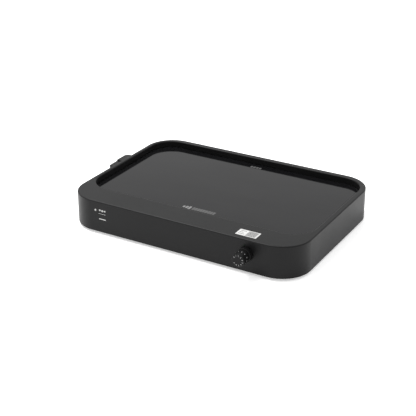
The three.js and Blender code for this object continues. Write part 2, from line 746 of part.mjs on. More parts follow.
// A ceramic connector block with a clamp channel for each conductor.
function makeTerminalBlock() {
  const bottom = PAN_TOP + GAP;
  const block = boxBetween([BLOCK_LEFT, INLET_Y - 13, bottom], [BLOCK_RIGHT, INLET_Y + 13, bottom + 14]);
  const grooves = [LIVE_Y, INLET_Y, NEUTRAL_Y].map((y) =>
    boxBetween([BLOCK_LEFT + 4, y - 2.5, bottom + 9], [BLOCK_RIGHT - 4, y + 2.5, bottom + 16]),
  );
  return cut(toSolid(block), grooves);
}

// The wires' routes: from the inlet's pins to the block, and on to the thermostat, the heater and the earth.
function wireRoutes(ribbonZ) {
  const pinEnd = PIN_TAIL + 0.5;
  const blockEntry = BLOCK_LEFT - 0.5;
  const blockExit = BLOCK_RIGHT + 0.5;
  const caseBack = THERMOSTAT_BACK + 0.5;
  const tabY = heaterFront - 5.5;
  const underTab = ribbonZ - 0.4;
  return {
    wire_live_supply: [
      [pinEnd, LIVE_Y, 26],
      [-176, LIVE_Y, 25.5],
      [-167, LIVE_Y, 20],
      [-162, LIVE_Y, 14],
      [blockEntry, LIVE_Y, 12.5],
    ],
    wire_neutral_supply: [
      [pinEnd, NEUTRAL_Y, 26],
      [-176, NEUTRAL_Y, 25.5],
      [-167, NEUTRAL_Y, 20],
      [-162, NEUTRAL_Y, 14],
      [blockEntry, NEUTRAL_Y, 12.5],
    ],
    wire_earth: [
      [pinEnd, INLET_Y, 31],
      [-180, INLET_Y - 2, 31.5],
      [-176, INLET_Y - 10, 31],
      [-173, -2, 22],
      [-169, -14, 12.5],
      [-168, -20.3, 10.5],
    ],
    wire_thermostat_feed: [
      [blockExit, LIVE_Y, 12.5],
      [-122, 10, 10.5],
      [-60, -6, 10],
      [40, -50, 10.5],
      [105, -95, 14],
      [121, -108, 22],
      [122, caseBack, 24],
    ],
    wire_heater_live: [
      [136, caseBack, 24],
      [137, -109, 24],
      [146, -98, 25.5],
      [157, -86, 29],
      [ribbonLastX, tabY - 1.5, 34],
      [ribbonLastX, tabY, underTab],
    ],
    wire_heater_neutral: [
      [blockExit, NEUTRAL_Y, 12.5],
      [-124, 24, 14],
      [-118, 8, 17.5],
      [-117, -12, 16],
      [-121, -50, 15],
      [-138, -80, 17],
      [-156, -86, 24],
      [-ribbonLastX, tabY - 1.5, 33],
      [-ribbonLastX, tabY, underTab],
    ],
  };
}

function addWiring(ribbonZ) {
  const wireRadius = 1.3;
  const covers = {
    wire_live_supply: "wireBrown",
    wire_neutral_supply: "wireBlue",
    wire_earth: "wireGreen",
    wire_thermostat_feed: "wireBrown",
    wire_heater_live: "wireWhite",
    wire_heater_neutral: "wireBlue",
  };
  addPiece("terminal_block", makeTerminalBlock(), "ceramic");
  for (const [name, route] of Object.entries(wireRoutes(ribbonZ))) {
    addPiece(name, wire(route, wireRadius, 24), covers[name]);
  }
  const earth = addPiece("earth_screw", screw(3, 2, 1.5, 3.6), "brass");
  earth.position.set(...EARTH_PLACE, PAN_TOP + GAP);
}

// The thermal cutoff bridges the inner tabs of the two ribbons, in front of the tray.
function addCutoff(ribbonZ) {
  const y = heaterFront - 6;
  const z = ribbonZ - 6.2;
  const leadReach = ribbonFirstX;
  const profile = [
    [0, -leadReach],
    [0.6, -leadReach],
    [0.6, -8],
    [2.2, -7],
    [2.2, 7],
    [0.6, 8],
    [0.6, leadReach],
    [0, leadReach],
  ];
  addPiece("thermal_cutoff", turned(profile, 12).rotateY(Math.PI / 2).translate(0, y, z), "ceramic");
  const clip = makeSaddle(2.2, 6, 2).rotateX(-Math.PI / 2).translate(0, y, z);
  addPiece("cutoff_clip", clip, "steel");
}

addPiece("upper_housing", makeUpperHousing(), "housing");
addPiece("glass_panel", makeGlassPanel(), "glass");
addPiece("glass_seal", makeGlassSeal(), "silicone");
addBase();
const ribbonHeight = addHeater();
addSupports();
addThermostat();
addControl();
addInlet();
addWiring(ribbonHeight);
addCutoff(ribbonHeight);

// The knob and the inlet stand out of the shell, so the shell's middle is off the origin by half of each.
const hotPlate = new THREE.Group();
shell.position.set(INLET_REACH / 2, KNOB_REACH / 2, 0);
hotPlate.add(shell);

export default hotPlate;
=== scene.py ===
"""Looks for the glass-topped hot plate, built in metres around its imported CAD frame."""
import json
import math
from collections import namedtuple

import bmesh
import bpy
from mathutils import Matrix, Vector


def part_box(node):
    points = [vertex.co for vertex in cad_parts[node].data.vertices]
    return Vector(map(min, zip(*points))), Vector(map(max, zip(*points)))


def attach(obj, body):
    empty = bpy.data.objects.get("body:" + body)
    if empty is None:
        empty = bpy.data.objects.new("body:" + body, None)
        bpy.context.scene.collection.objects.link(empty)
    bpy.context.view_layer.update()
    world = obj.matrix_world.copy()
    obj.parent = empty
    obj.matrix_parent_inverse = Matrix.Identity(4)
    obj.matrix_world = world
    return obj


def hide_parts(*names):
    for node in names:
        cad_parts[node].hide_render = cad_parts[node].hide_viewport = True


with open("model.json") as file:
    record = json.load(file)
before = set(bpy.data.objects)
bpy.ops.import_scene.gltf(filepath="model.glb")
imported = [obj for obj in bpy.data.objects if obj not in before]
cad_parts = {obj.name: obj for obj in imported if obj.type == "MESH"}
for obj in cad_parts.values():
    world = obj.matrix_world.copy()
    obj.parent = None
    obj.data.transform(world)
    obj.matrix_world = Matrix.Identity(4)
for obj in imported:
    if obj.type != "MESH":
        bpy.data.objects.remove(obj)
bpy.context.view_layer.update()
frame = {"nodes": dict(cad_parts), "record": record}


def middle_of(name):
    """The middle of a node's box."""
    low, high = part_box(name)
    return (low + high) / 2


# Places and sizes that the frame gives
SHELL_LOW, SHELL_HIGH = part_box("upper_housing")
SHELL_MID = (SHELL_LOW + SHELL_HIGH) / 2
SHELL_BOTTOM = SHELL_LOW.z
SHELL_TOP = SHELL_HIGH.z
FRONT_Y = SHELL_LOW.y
GLASS_LOW, GLASS_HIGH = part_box("glass_panel")
SEAL_LOW, SEAL_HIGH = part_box("glass_seal")
PAN_LOW, PAN_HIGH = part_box("base_pan")
KNOB_LOW, KNOB_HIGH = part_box("knob")
KNOB_MID = middle_of("knob")
LENS_LOW, LENS_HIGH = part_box("indicator_lens")
LENS_MID = middle_of("indicator_lens")
LENS_RADIUS = (LENS_HIGH.x - LENS_LOW.x) / 2

# Nodes that repeat
FEET = [f"foot_{i}" for i in range(1, 5)]
BASE_SCREWS = [f"base_screw_{i}" for i in range(1, 5)]
BAR_SCREWS = [f"bar_screw_{i}" for i in range(1, 5)]
INLET_SCREWS = [f"inlet_screw_{i}" for i in range(1, 3)]
INLET_PINS = [f"inlet_pin_{wire}" for wire in ("live", "neutral", "earth")]

# Steps of the round corners in plan and of the small fillets
CORNER_STEPS = 24
FILLET_STEPS = 8

# Edges sharper than this many degrees stay sharp in shading
SHARP_ANGLE = 32

# The housing
SHELL_CORNER = 0.050
RECESS_CORNER = 0.040
RECESS_DRAFT = 0.0003
WALL = 0.0026
RIM_FILLET = 0.002
BOTTOM_FILLET = 0.0012
LEDGE_WIDTH = 0.013
LEDGE_THICKNESS = 0.0026
POST_RADIUS = 0.0045
POST_BORE = 0.0019
SHAFT_HOLE = 0.0066
SCREW_HOLE = 0.0018
LENS_CLEARANCE = 0.0001
SLEEVE_CLEARANCE = 0.0004

# The base pan
PAN_FLOOR = 0.0016
PAN_SHEET = 0.0014
SLOT_LENGTH = 0.064
SLOT_WIDTH = 0.005
SLOT_PITCH = 0.014
SLOT_BANK = 0.062
FOOT_HOLE = 0.0043
PAN_SCREW_HOLE = 0.002

# The inlet's socket and its mouth
SOCKET_FLOOR = 0.003
SOCKET_HEIGHT = 0.016
SOCKET_WIDTH = 0.024
SOCKET_WALL = 0.002
SOCKET_ROUND = 0.003
SOCKET_Y = middle_of("inlet_pin_earth").y
SOCKET_Z = middle_of("inlet_screw_1").z

# The gap between pieces, how far a cutter runs past a face, and the ink's thickness and standoff
GAP = 0.0003
PAST = 0.001
INK = 0.00003
LIFT = 0.00001

# The camera stands here, seen from the middle of the shell's bottom
CAMERA_OFFSET = Vector((0.7730, -1.3805, 0.7558))
CAMERA_AZIMUTH = 30.095
CAMERA_ELEVATION = 25.063
CAMERA_LENS = 90.44


# ---------------------------------------------------------------- mesh tools

def arc(u, v, radius, start, end, steps=FILLET_STEPS):
    """Points of an arc round (u, v), from one angle in degrees to another."""
    angles = [math.radians(start + (end - start) * i / steps) for i in range(steps + 1)]
    return [(u + radius * math.cos(a), v + radius * math.sin(a)) for a in angles]


def rounded_rectangle(width, depth, radius, steps=6, x=0.0, y=0.0):
    """The outline of a rectangle with round corners, as (x, y) points."""
    points = []
    for quarter, (sx, sy) in enumerate(((1, 1), (-1, 1), (-1, -1), (1, -1))):
        cx = x + sx * (width / 2 - radius)
        cy = y + sy * (depth / 2 - radius)
        points += arc(cx, cy, radius, 90 * quarter, 90 * quarter + 90, steps)
    return points


Plan = namedtuple("Plan", "x y half_x half_y radius")


def plan_of(low, high, grow, radius):
    """The rounded plan of a box, grown on all sides."""
    middle = (low + high) / 2
    half = (high - low) / 2
    return Plan(middle.x, middle.y, half.x + grow, half.y + grow, radius)


SHELL = plan_of(SHELL_LOW, SHELL_HIGH, 0.0, SHELL_CORNER)
RECESS = plan_of(SEAL_LOW, SEAL_HIGH, GAP, RECESS_CORNER)
GLASS_INSET = GLASS_LOW.x - (RECESS.x - RECESS.half_x)


def outline(plan, inset, z):
    """The rounded outline of a plan, moved inwards by inset, at height z."""
    width = 2 * (plan.half_x - inset)
    depth = 2 * (plan.half_y - inset)
    points = rounded_rectangle(width, depth, plan.radius - inset, CORNER_STEPS, plan.x, plan.y)
    return [Vector((x, y, z)) for x, y in points]


def outlines(plan, profile):
    """The outlines of one plan, one for each (inset, height) of a profile."""
    return [outline(plan, inset, z) for inset, z in profile]


def circle(radius, height, steps):
    """A loop of the given radius about Z."""
    angles = [2 * math.pi * i / steps for i in range(steps)]
    return [Vector((radius * math.cos(a), radius * math.sin(a), height)) for a in angles]


def swept(loops, closed):
    """A mesh through equal loops: a ring if closed, or else a body with a flat cap at each end."""
    mesh = bmesh.new()
    rows = [[mesh.verts.new(p) for p in loop] for loop in loops]
    pairs = list(zip(rows, rows[1:]))
    if closed:
        pairs.append((rows[-1], rows[0]))
    for here, after in pairs:
        for j in range(len(here)):
            k = (j + 1) % len(here)
            mesh.faces.new((here[j], here[k], after[k], after[j]))
    if not closed:
        mesh.faces.new(rows[0])
        mesh.faces.new(rows[-1])
    bmesh.ops.recalc_face_normals(mesh, faces=mesh.faces[:])
    return mesh


def turned(profile, steps=64):
    """A turned body about Z. Its open profile of (radius, height) points gets a cap at each end."""
    return swept([circle(r, h, steps) for r, h in profile], closed=False)


def turned_ring(profile, steps=64):
    """A turned ring about Z, from a closed profile of (radius, height) points."""
    return swept([circle(r, h, steps) for r, h in profile], closed=True)


def rod(radius, bottom, top, steps=24):
    """A plain round rod about Z, from one height to another."""
    return turned([(radius, bottom), (radius, top)], steps)


def box_mesh(low, high):
    """A box given by its lowest and highest corners."""
    mesh = bmesh.new()
    bmesh.ops.create_cube(mesh, size=1)
    size = Vector(high) - Vector(low)
    middle = (Vector(high) + Vector(low)) / 2
    return moved(mesh, Matrix.Translation(middle) @ Matrix.Diagonal((*size, 1)))


def prism(points, bottom, top):
    """An upright prism on a flat outline of (x, y) points."""
    return swept([[Vector((x, y, z)) for x, y in points] for z in (bottom, top)], closed=False)


def gathered(meshes):
    """Several meshes in one."""
    whole = bmesh.new()
    for part in meshes:
        data = bpy.data.meshes.new("part")
        part.to_mesh(data)
        part.free()
        whole.from_mesh(data)
        bpy.data.meshes.remove(data)
    return whole


def moved(mesh, matrix):
    bmesh.ops.transform(mesh, matrix=matrix, verts=mesh.verts[:])
    return mesh


def at(x, y, z):
    return Matrix.Translation((x, y, z))


FACING_FRONT = Matrix.Rotation(math.radians(90), 4, "X")
FACING_LEFT = Matrix.Rotation(math.radians(-90), 4, "Y")
FACING_RIGHT = Matrix.Rotation(math.radians(90), 4, "Y")
UPSIDE_DOWN = Matrix.Rotation(math.radians(180), 4, "X")

# Z runs out of the front face at the knob, at the lens and, for the marks, at the shell's middle
KNOB_PLACE = at(KNOB_MID.x, FRONT_Y, KNOB_MID.z) @ FACING_FRONT
LENS_PLACE = at(LENS_MID.x, FRONT_Y, LENS_MID.z) @ FACING_FRONT
FRONT_PLACE = at(SHELL_MID.x, FRONT_Y, SHELL_BOTTOM) @ FACING_FRONT


def object_of(name, mesh):
    data = bpy.data.meshes.new(name)
    mesh.to_mesh(data)
    mesh.free()
    piece = bpy.data.objects.new(name, data)
    bpy.context.scene.collection.objects.link(piece)
    return piece


def settle(piece):
    """Applies a piece's modifiers for good."""
    bpy.context.view_layer.update()
    evaluated = piece.evaluated_get(bpy.context.evaluated_depsgraph_get())
    result = bpy.data.meshes.new_from_object(evaluated)
    piece.modifiers.clear()
    old = piece.data
    piece.data = result
    bpy.data.meshes.remove(old)


def combine(piece, other_mesh, operation):
    """Joins a mesh to a piece, or cuts it out of the piece."""
    other = object_of("tool", other_mesh)
    modifier = piece.modifiers.new("combine", "BOOLEAN")
    modifier.operation = operation
    modifier.solver = "EXACT"
    modifier.object = other
    settle(piece)
    bpy.data.objects.remove(other)


def soften(piece, width):
    """Rounds a piece's sharp edges."""
    modifier = piece.modifiers.new("soften", "BEVEL")
    modifier.width = width
    modifier.segments = 4
    modifier.limit_method = "ANGLE"
    modifier.angle_limit = math.radians(50)
    settle(piece)


def finished(piece, material, body, replaces=(), soft=True):
    """Shades a piece, gives it its material and puts it on its body."""
    data = piece.data
    data.materials.clear()
    data.materials.append(material)
    if soft:
        data.shade_smooth()
        data.set_sharp_from_angle(angle=math.radians(SHARP_ANGLE))
        weighted = piece.modifiers.new("normals", "WEIGHTED_NORMAL")
        weighted.keep_sharp = True
    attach(piece, body)
    if replaces:
        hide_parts(*replaces)


# ---------------------------------------------------------------- materials

def new_material(name, base, roughness, metallic=0.0, **sockets):
    """A Principled material, with its nodes, its links and its shader."""
    material = bpy.data.materials.new(name)
    material.use_nodes = True
    nodes = material.node_tree.nodes
    shader = nodes["Principled BSDF"]
    shader.inputs["Base Color"].default_value = (*base, 1)
    shader.inputs["Roughness"].default_value = roughness
    shader.inputs["Metallic"].default_value = metallic
    for socket, value in sockets.items():
        shader.inputs[socket.replace("_", " ")].default_value = value
    return material, nodes, material.node_tree.links, shader


def noise(nodes, links, scale, detail=4.0, stretch=(1, 1, 1)):
    """Noise in the object's own coordinates, scale being in cycles per metre."""
    place = nodes.new("ShaderNodeTexCoord")
    mapping = nodes.new("ShaderNodeMapping")
    mapping.inputs["Scale"].default_value = stretch
    texture = nodes.new("ShaderNodeTexNoise")
    texture.inputs["Scale"].default_value = scale
    texture.inputs["Detail"].default_value = detail
    links.new(place.outputs["Object"], mapping.inputs["Vector"])
    links.new(mapping.outputs["Vector"], texture.inputs["Vector"])
    return texture


def vary_color(nodes, links, shader, factor, dark, light):
    """Colour that wanders between two tones."""
    ramp = nodes.new("ShaderNodeValToRGB")
    ramp.color_ramp.elements[0].position = 0.3
    ramp.color_ramp.elements[1].position = 0.7
    ramp.color_ramp.elements[0].color = (*dark, 1)
    ramp.color_ramp.elements[1].color = (*light, 1)
    links.new(factor, ramp.inputs["Fac"])
    links.new(ramp.outputs["Color"], shader.inputs["Base Color"])


def vary_roughness(nodes, links, shader, factor, low, high):
    spread = nodes.new("ShaderNodeMapRange")
    spread.inputs["From Min"].default_value = 0.3
    spread.inputs["From Max"].default_value = 0.7
    spread.inputs["To Min"].default_value = low
    spread.inputs["To Max"].default_value = high
    links.new(factor, spread.inputs["Value"])
    links.new(spread.outputs["Result"], shader.inputs["Roughness"])


def add_bump(nodes, links, shader, height, strength, distance):
    bump = nodes.new("ShaderNodeBump")
    bump.inputs["Strength"].default_value = strength
    bump.inputs["Distance"].default_value = distance
    links.new(height, bump.inputs["Height"])
    links.new(bump.outputs["Normal"], shader.inputs["Normal"])


def grained(name, dark, light, rough_low, rough_high, grain=2600.0, depth=0.00002, **sockets):
    """Moulded plastic or rubber: slow tone changes, uneven gloss and a fine grain."""
    material, nodes, links, shader = new_material(name, light, rough_high, **sockets)
    slow = noise(nodes, links, 14.0)
    fine = noise(nodes, links, grain, detail=2.0)
    vary_color(nodes, links, shader, slow.outputs["Fac"], dark, light)
    vary_roughness(nodes, links, shader, slow.outputs["Fac"], rough_low, rough_high)
    add_bump(nodes, links, shader, fine.outputs["Fac"], 0.25, depth)
    return material


def brushed(name, dark, light, rough_low, rough_high, direction=(1, 30, 30), metallic=1.0):
    """Rolled or drawn metal, with fine streaks along one direction."""
    material, nodes, links, shader = new_material(name, light, rough_high, metallic)
    streaks = noise(nodes, links, 60.0, detail=6.0, stretch=direction)
    vary_color(nodes, links, shader, streaks.outputs["Fac"], dark, light)
    vary_roughness(nodes, links, shader, streaks.outputs["Fac"], rough_low, rough_high)
    add_bump(nodes, links, shader, streaks.outputs["Fac"], 0.15, 0.00002)
    return material


HOUSING = grained("housing_black", (0.0025, 0.0025, 0.0027), (0.004, 0.004, 0.0042), 0.38, 0.44, IOR=1.265)
KNOB_PLASTIC = grained("knob_black", (0.004, 0.004, 0.0042), (0.006, 0.006, 0.0062), 0.36, 0.42, IOR=1.22)
SILICONE = grained("seal_black", (0.002, 0.002, 0.002), (0.003, 0.003, 0.003), 0.6, 0.75, IOR=1.38)
FOOT_RUBBER = grained("foot_rubber", (0.008, 0.008, 0.008), (0.013, 0.013, 0.013), 0.7, 0.85, grain=1400.0)
POWDER_COAT = grained("powder_coat", (0.018, 0.018, 0.019), (0.028, 0.028, 0.03), 0.45, 0.6,
                      grain=1500.0, depth=0.00005)
CREAM_CASE = grained("cream_case", (0.5, 0.46, 0.38), (0.62, 0.58, 0.49), 0.4, 0.55)
WIRE_COVER = grained("wire_cover", (0.16, 0.13, 0.1), (0.24, 0.19, 0.15), 0.5, 0.65)
PLATED_STEEL = brushed("plated_steel", (0.42, 0.42, 0.43), (0.6, 0.6, 0.61), 0.28, 0.42)
ALUMINIUM = brushed("rolled_aluminium", (0.6, 0.61, 0.62), (0.78, 0.79, 0.8), 0.3, 0.42)
BRASS = brushed("plain_brass", (0.5, 0.38, 0.15), (0.68, 0.54, 0.24), 0.25, 0.38)
COPPER = brushed("drawn_copper", (0.45, 0.22, 0.12), (0.66, 0.36, 0.22), 0.28, 0.4)
RIBBON_ALLOY = brushed("ribbon_alloy", (0.2, 0.18, 0.17), (0.34, 0.31, 0.28), 0.4, 0.55)


def make_glass_material():
    """Opaque black glass-ceramic: a mirror-smooth face with a faint haze of wiping marks."""
    material, nodes, links, shader = new_material("black_glass", (0.004, 0.004, 0.0045), 0.06, IOR=1.235)
    smears = noise(nodes, links, 9.0, detail=5.0, stretch=(1, 3, 1))
    vary_roughness(nodes, links, shader, smears.outputs["Fac"], 0.04, 0.09)
    vary_color(nodes, links, shader, smears.outputs["Fac"], (0.003, 0.003, 0.0035), (0.005, 0.005, 0.0055))
    ripple = noise(nodes, links, 25.0, detail=1.0)
    add_bump(nodes, links, shader, ripple.outputs["Fac"], 0.02, 0.0002)
    return material


def make_mica_material():
    """Mica sheet: overlapping flakes in warm greys."""
    material, nodes, links, shader = new_material("mica_sheet", (0.45, 0.36, 0.24), 0.5)
    place = nodes.new("ShaderNodeTexCoord")
    flakes = nodes.new("ShaderNodeTexVoronoi")
    flakes.inputs["Scale"].default_value = 260.0
    links.new(place.outputs["Object"], flakes.inputs["Vector"])
    vary_color(nodes, links, shader, flakes.outputs["Distance"], (0.5, 0.41, 0.28), (0.33, 0.25, 0.16))
    add_bump(nodes, links, shader, flakes.outputs["Distance"], 0.2, 0.0001)
    return material


def make_blanket_material():
    """Ceramic fibre: white, matt and felted."""
    material, nodes, links, shader = new_material("ceramic_fibre", (0.8, 0.78, 0.73), 0.95)
    fibres = noise(nodes, links, 420.0, detail=8.0, stretch=(1, 4, 4))
    vary_color(nodes, links, shader, fibres.outputs["Fac"], (0.66, 0.64, 0.6), (0.84, 0.82, 0.78))
    add_bump(nodes, links, shader, fibres.outputs["Fac"], 0.6, 0.0004)
    return material


def make_lens_material():
    """The unlit lamp's lens: dark green plastic."""
    material, nodes, links, shader = new_material("lens_green", (0.004, 0.007, 0.005), 0.3, IOR=1.2)
    cells = noise(nodes, links, 900.0, detail=2.0)
    vary_color(nodes, links, shader, cells.outputs["Fac"], (0.003, 0.006, 0.004), (0.005, 0.009, 0.006))
    add_bump(nodes, links, shader, cells.outputs["Fac"], 0.1, 0.00003)
    return material


def make_ink_material(name, tone):
    """Printed ink: a light tone, slightly uneven as screen printing is."""
    dark = tuple(c * 0.82 for c in tone)
    return grained(name, dark, tone, 0.45, 0.6, grain=5200.0, depth=0.000008)


GLASS = make_glass_material()
MICA = make_mica_material()
BLANKET = make_blanket_material()
LENS = make_lens_material()
WHITE_INK = make_ink_material("white_ink", (0.42, 0.42, 0.41))
# Light ink for the dial's numerals, and also the painted highlight of the dots on the knob's side
DIAL_INK_AND_GLINTS = make_ink_material("dial_ink_and_glints", (0.42, 0.42, 0.42))
DASH_INK = make_ink_material("dash_ink", (0.17, 0.17, 0.17))
GREY_INK = make_ink_material("grey_ink", (0.055, 0.055, 0.055))
STICKER_PAPER = make_ink_material("sticker_paper", (0.56, 0.56, 0.55))
STICKER_GREY = make_ink_material("sticker_grey", (0.05, 0.05, 0.05))


# ---------------------------------------------------------------- the outer pieces

def screw_posts(deck_ceiling, ledge_ceiling):
    """The posts that the base screws and the bar screws go into, and the bores of the posts."""
    deck_end = RECESS.y - RECESS.half_y
    pan_seat = PAN_LOW.z + PAN_FLOOR + GAP
    bar_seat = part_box("cross_bar_left")[1].z + GAP
    posts = []
    bores = []
    for name in BASE_SCREWS + BAR_SCREWS:
        middle = middle_of(name)
        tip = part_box(name)[1].z
        foot = pan_seat if name in BASE_SCREWS else bar_seat
        ceiling = deck_ceiling if middle.y < deck_end else ledge_ceiling
        place = at(middle.x, middle.y, 0)
        posts.append(moved(rod(POST_RADIUS, foot, ceiling + PAST, 32), place))
        bores.append(moved(rod(POST_BORE, foot - PAST, tip + 2 * PAST), place))
    return posts, bores


def wall_holes():
    """Cutters for the holes in the front wall and in the left wall."""
    reach = WALL + PAST
    holes = [
        moved(rod(SHAFT_HOLE, -reach, reach, 48), KNOB_PLACE),
        moved(rod(LENS_RADIUS + LENS_CLEARANCE, -reach, reach, 32), LENS_PLACE),
    ]
    half_width = SOCKET_WIDTH / 2 + SOCKET_WALL + SLEEVE_CLEARANCE
    half_height = SOCKET_HEIGHT / 2 + SOCKET_WALL + SLEEVE_CLEARANCE
    holes.append(box_mesh((SHELL_LOW.x - reach, SOCKET_Y - half_width, SOCKET_Z - half_height),
                          (SHELL_LOW.x + reach, SOCKET_Y + half_width, SOCKET_Z + half_height)))
    for name in INLET_SCREWS:
        middle = middle_of(name)
        hole = rod(SCREW_HOLE, -reach, reach)
        holes.append(moved(hole, at(SHELL_LOW.x, middle.y, middle.z) @ FACING_LEFT))
    return holes


def make_housing():
    """The moulded housing, with its rim, its recess wall and the ledge under the glass."""
    under_rim = SHELL_TOP - WALL
    ledge_top = SEAL_LOW.z - GAP
    ledge_bottom = ledge_top - LEDGE_THICKNESS
    fillet_end = -RECESS_DRAFT - RIM_FILLET
    outside = [
        (WALL, SHELL_BOTTOM),
        *arc(BOTTOM_FILLET, SHELL_BOTTOM + BOTTOM_FILLET, BOTTOM_FILLET, 270, 180),
        *arc(RIM_FILLET, SHELL_TOP - RIM_FILLET, RIM_FILLET, 180, 90),
    ]
    inside = [
        *arc(fillet_end, SHELL_TOP - RIM_FILLET, RIM_FILLET, 90, 0),
        (0, ledge_top),
        (LEDGE_WIDTH, ledge_top),
        (LEDGE_WIDTH, ledge_bottom),
        (fillet_end, ledge_bottom),
        (fillet_end - GAP, under_rim),
    ]
    loops = outlines(SHELL, outside) + outlines(RECESS, inside) + [outline(SHELL, WALL, under_rim)]
    piece = object_of("housing_shell", swept(loops, closed=True))
    posts, bores = screw_posts(under_rim, ledge_bottom)
    combine(piece, gathered(posts), "UNION")
    combine(piece, gathered(bores + wall_holes()), "DIFFERENCE")
    finished(piece, HOUSING, "appliance", ["upper_housing"])


def make_glass():
    """The glass plate, with a ground and rounded edge."""
    edge = 0.0007
    profile = [
        *arc(GLASS_INSET + edge, GLASS_LOW.z + edge, edge, 270, 180, 5),
        *arc(GLASS_INSET + edge, GLASS_HIGH.z - edge, edge, 180, 90, 5),
    ]
    piece = object_of("glass_plate", swept(outlines(RECESS, profile), closed=False))
    finished(piece, GLASS, "appliance", ["glass_panel"])


def make_seal():
    """The silicone seal: a bed under the glass and a rounded lip in the gap beside it."""
    outer = GAP
    lip = GLASS_INSET - GAP
    half = (lip - outer) / 2
    bed_top = GLASS_LOW.z - GAP
    bed_end = LEDGE_WIDTH - 2 * GAP
    profile = [
        (outer, SEAL_LOW.z),
        *arc(outer + half, SEAL_HIGH.z - half, half, 180, 0),
        (lip, bed_top),
        (bed_end, bed_top),
        (bed_end, SEAL_LOW.z),
    ]
    piece = object_of("seal_ring", swept(outlines(RECESS, profile), closed=True))
    finished(piece, SILICONE, "appliance", ["glass_seal"])


def make_base_cover():
    """The pressed base pan, with a rolled edge, air slots and holes."""
    edge = PAN_LOW.x - SHELL_LOW.x
    bend = 0.001
    floor = PAN_LOW.z + PAN_FLOOR
    profile = [
        *arc(edge + bend, PAN_LOW.z + bend, bend, 270, 180, 5),
        (edge, PAN_HIGH.z),
        (edge + PAN_SHEET, PAN_HIGH.z),
        (edge + PAN_SHEET, floor),
    ]
    piece = object_of("base_cover", swept(outlines(SHELL, profile), closed=False))
    bottom = PAN_LOW.z - PAST
    top = floor + PAST
    cutters = []
    for x in (SHELL_MID.x - SLOT_BANK, SHELL_MID.x + SLOT_BANK):
        for row in range(-3, 4):
            y = SHELL_MID.y + row * SLOT_PITCH
            plan = rounded_rectangle(SLOT_LENGTH, SLOT_WIDTH, 0.498 * SLOT_WIDTH, 6, x, y)
            cutters.append(prism(plan, bottom, top))
    holes = [(name, FOOT_HOLE, 32) for name in FEET]
    holes += [(name, PAN_SCREW_HOLE, 32) for name in BASE_SCREWS]
    holes += [(name, SCREW_HOLE, 24) for name in ("bracket_screw_1", "bracket_screw_2", "earth_screw")]
    for name, radius, steps in holes:
        middle = middle_of(name)
        cutters.append(moved(rod(radius, bottom, top, steps), at(middle.x, middle.y, 0)))
    combine(piece, gathered(cutters), "DIFFERENCE")
    finished(piece, POWDER_COAT, "appliance", ["base_pan"])


def make_feet():
    """Push-in rubber feet, each with a rounded edge, a dimple underneath and a barbed stem."""
    dimple = 0.005
    edge = 0.0015
    bevel = 0.0004
    stem = 0.0039
    top = PAN_LOW.z - GAP
    barb_bottom = top + 0.0022
    barb_radius = 0.0054
    tip_radius = 0.0036
    for name in FEET:
        low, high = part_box(name)
        radius = (high.x - low.x) / 2
        profile = [
            (dimple - 0.0005, bevel),
            (dimple, 0.0),
            (radius - 0.0024, 0.0),
            *arc(radius - edge, edge, edge, 270, 360, 6),
            (radius, top - bevel),
            (radius - bevel, top),
            (stem, top),
            (stem, barb_bottom),
            (barb_radius, barb_bottom + bevel),
            (tip_radius, high.z),
        ]
        middle = middle_of(name)
        piece = object_of("rubber_" + name, moved(turned(profile), at(middle.x, middle.y, 0)))
        finished(piece, FOOT_RUBBER, "appliance", [name])


def screw_mesh(head_radius, head_height, shank_radius, length):
    """A pan-head screw about Z, with its head above z = 0."""
    dome = 0.35 * head_height
    profile = [
        (0.0003, -length),
        (shank_radius, -length + shank_radius),
        (shank_radius, 0.0),
        (head_radius, 0.0),
        *arc(head_radius - dome, head_height - dome, dome, 0, 80, 5),
        (0.3 * head_radius, head_height),
    ]
    return turned(profile, 48)


def cross_outline(reach, half_width):
    """A cross with four equal arms, as (x, y) points."""
    points = []
    corner = [(reach, -half_width), (reach, half_width), (half_width, half_width)]
    for _ in range(4):
        points += corner
        corner = [(-y, x) for x, y in corner]
    return points


def make_screws():
    """The screws that show outside, each with a cross recess in its head."""
    shank_radius = 0.0015
    half_slot = 0.00035
    base_head = 0.0016
    inlet_head = 0.0018
    rows = [(name, UPSIDE_DOWN, 2, base_head) for name in BASE_SCREWS]
    rows += [(name, FACING_LEFT, 0, inlet_head) for name in INLET_SCREWS]
    for name, turn, axis, head_height in rows:
        low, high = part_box(name)
        seat = (low + high) / 2
        seat[axis] = low[axis] + head_height
        head_radius = (high.y - low.y) / 2
        length = high[axis] - low[axis] - head_height
        place = Matrix.Translation(seat) @ turn
        screw = screw_mesh(head_radius, head_height, shank_radius, length)
        piece = object_of(name + "_head", moved(screw, place))
        cross = prism(cross_outline(0.55 * head_radius, half_slot), 0.5 * head_height, 1.5 * head_height)
        combine(piece, moved(cross, place), "DIFFERENCE")
        finished(piece, PLATED_STEEL, "appliance", [name])


def inlet_body():
    """The inlet's block: a low front wing and a tall rear part with a round end."""
    low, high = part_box("inlet_housing")
    face = low.x
    seat = SHELL_LOW.x - GAP
    front, back = low.y, high.y
    step = front + 0.024
    wing_top = high.z - 0.0015
    round_end = 0.008
    lip = 0.001
    wing = [
        (seat, front),
        (seat, step + lip),
        (face + lip, step + lip),
        (face + lip, front + lip),
        (face + 2 * lip, front),
    ]
    main = [
        (seat, step),
        (seat, back),
        *arc(face + round_end, back - round_end, round_end, 90, 180, 10),
        (face, step + lip),
        (face + lip, step),
    ]
    piece = object_of("inlet_block", prism(main, low.z, high.z))
    combine(piece, prism(wing, low.z, wing_top), "UNION")
    soften(piece, 0.0007)
    return piece


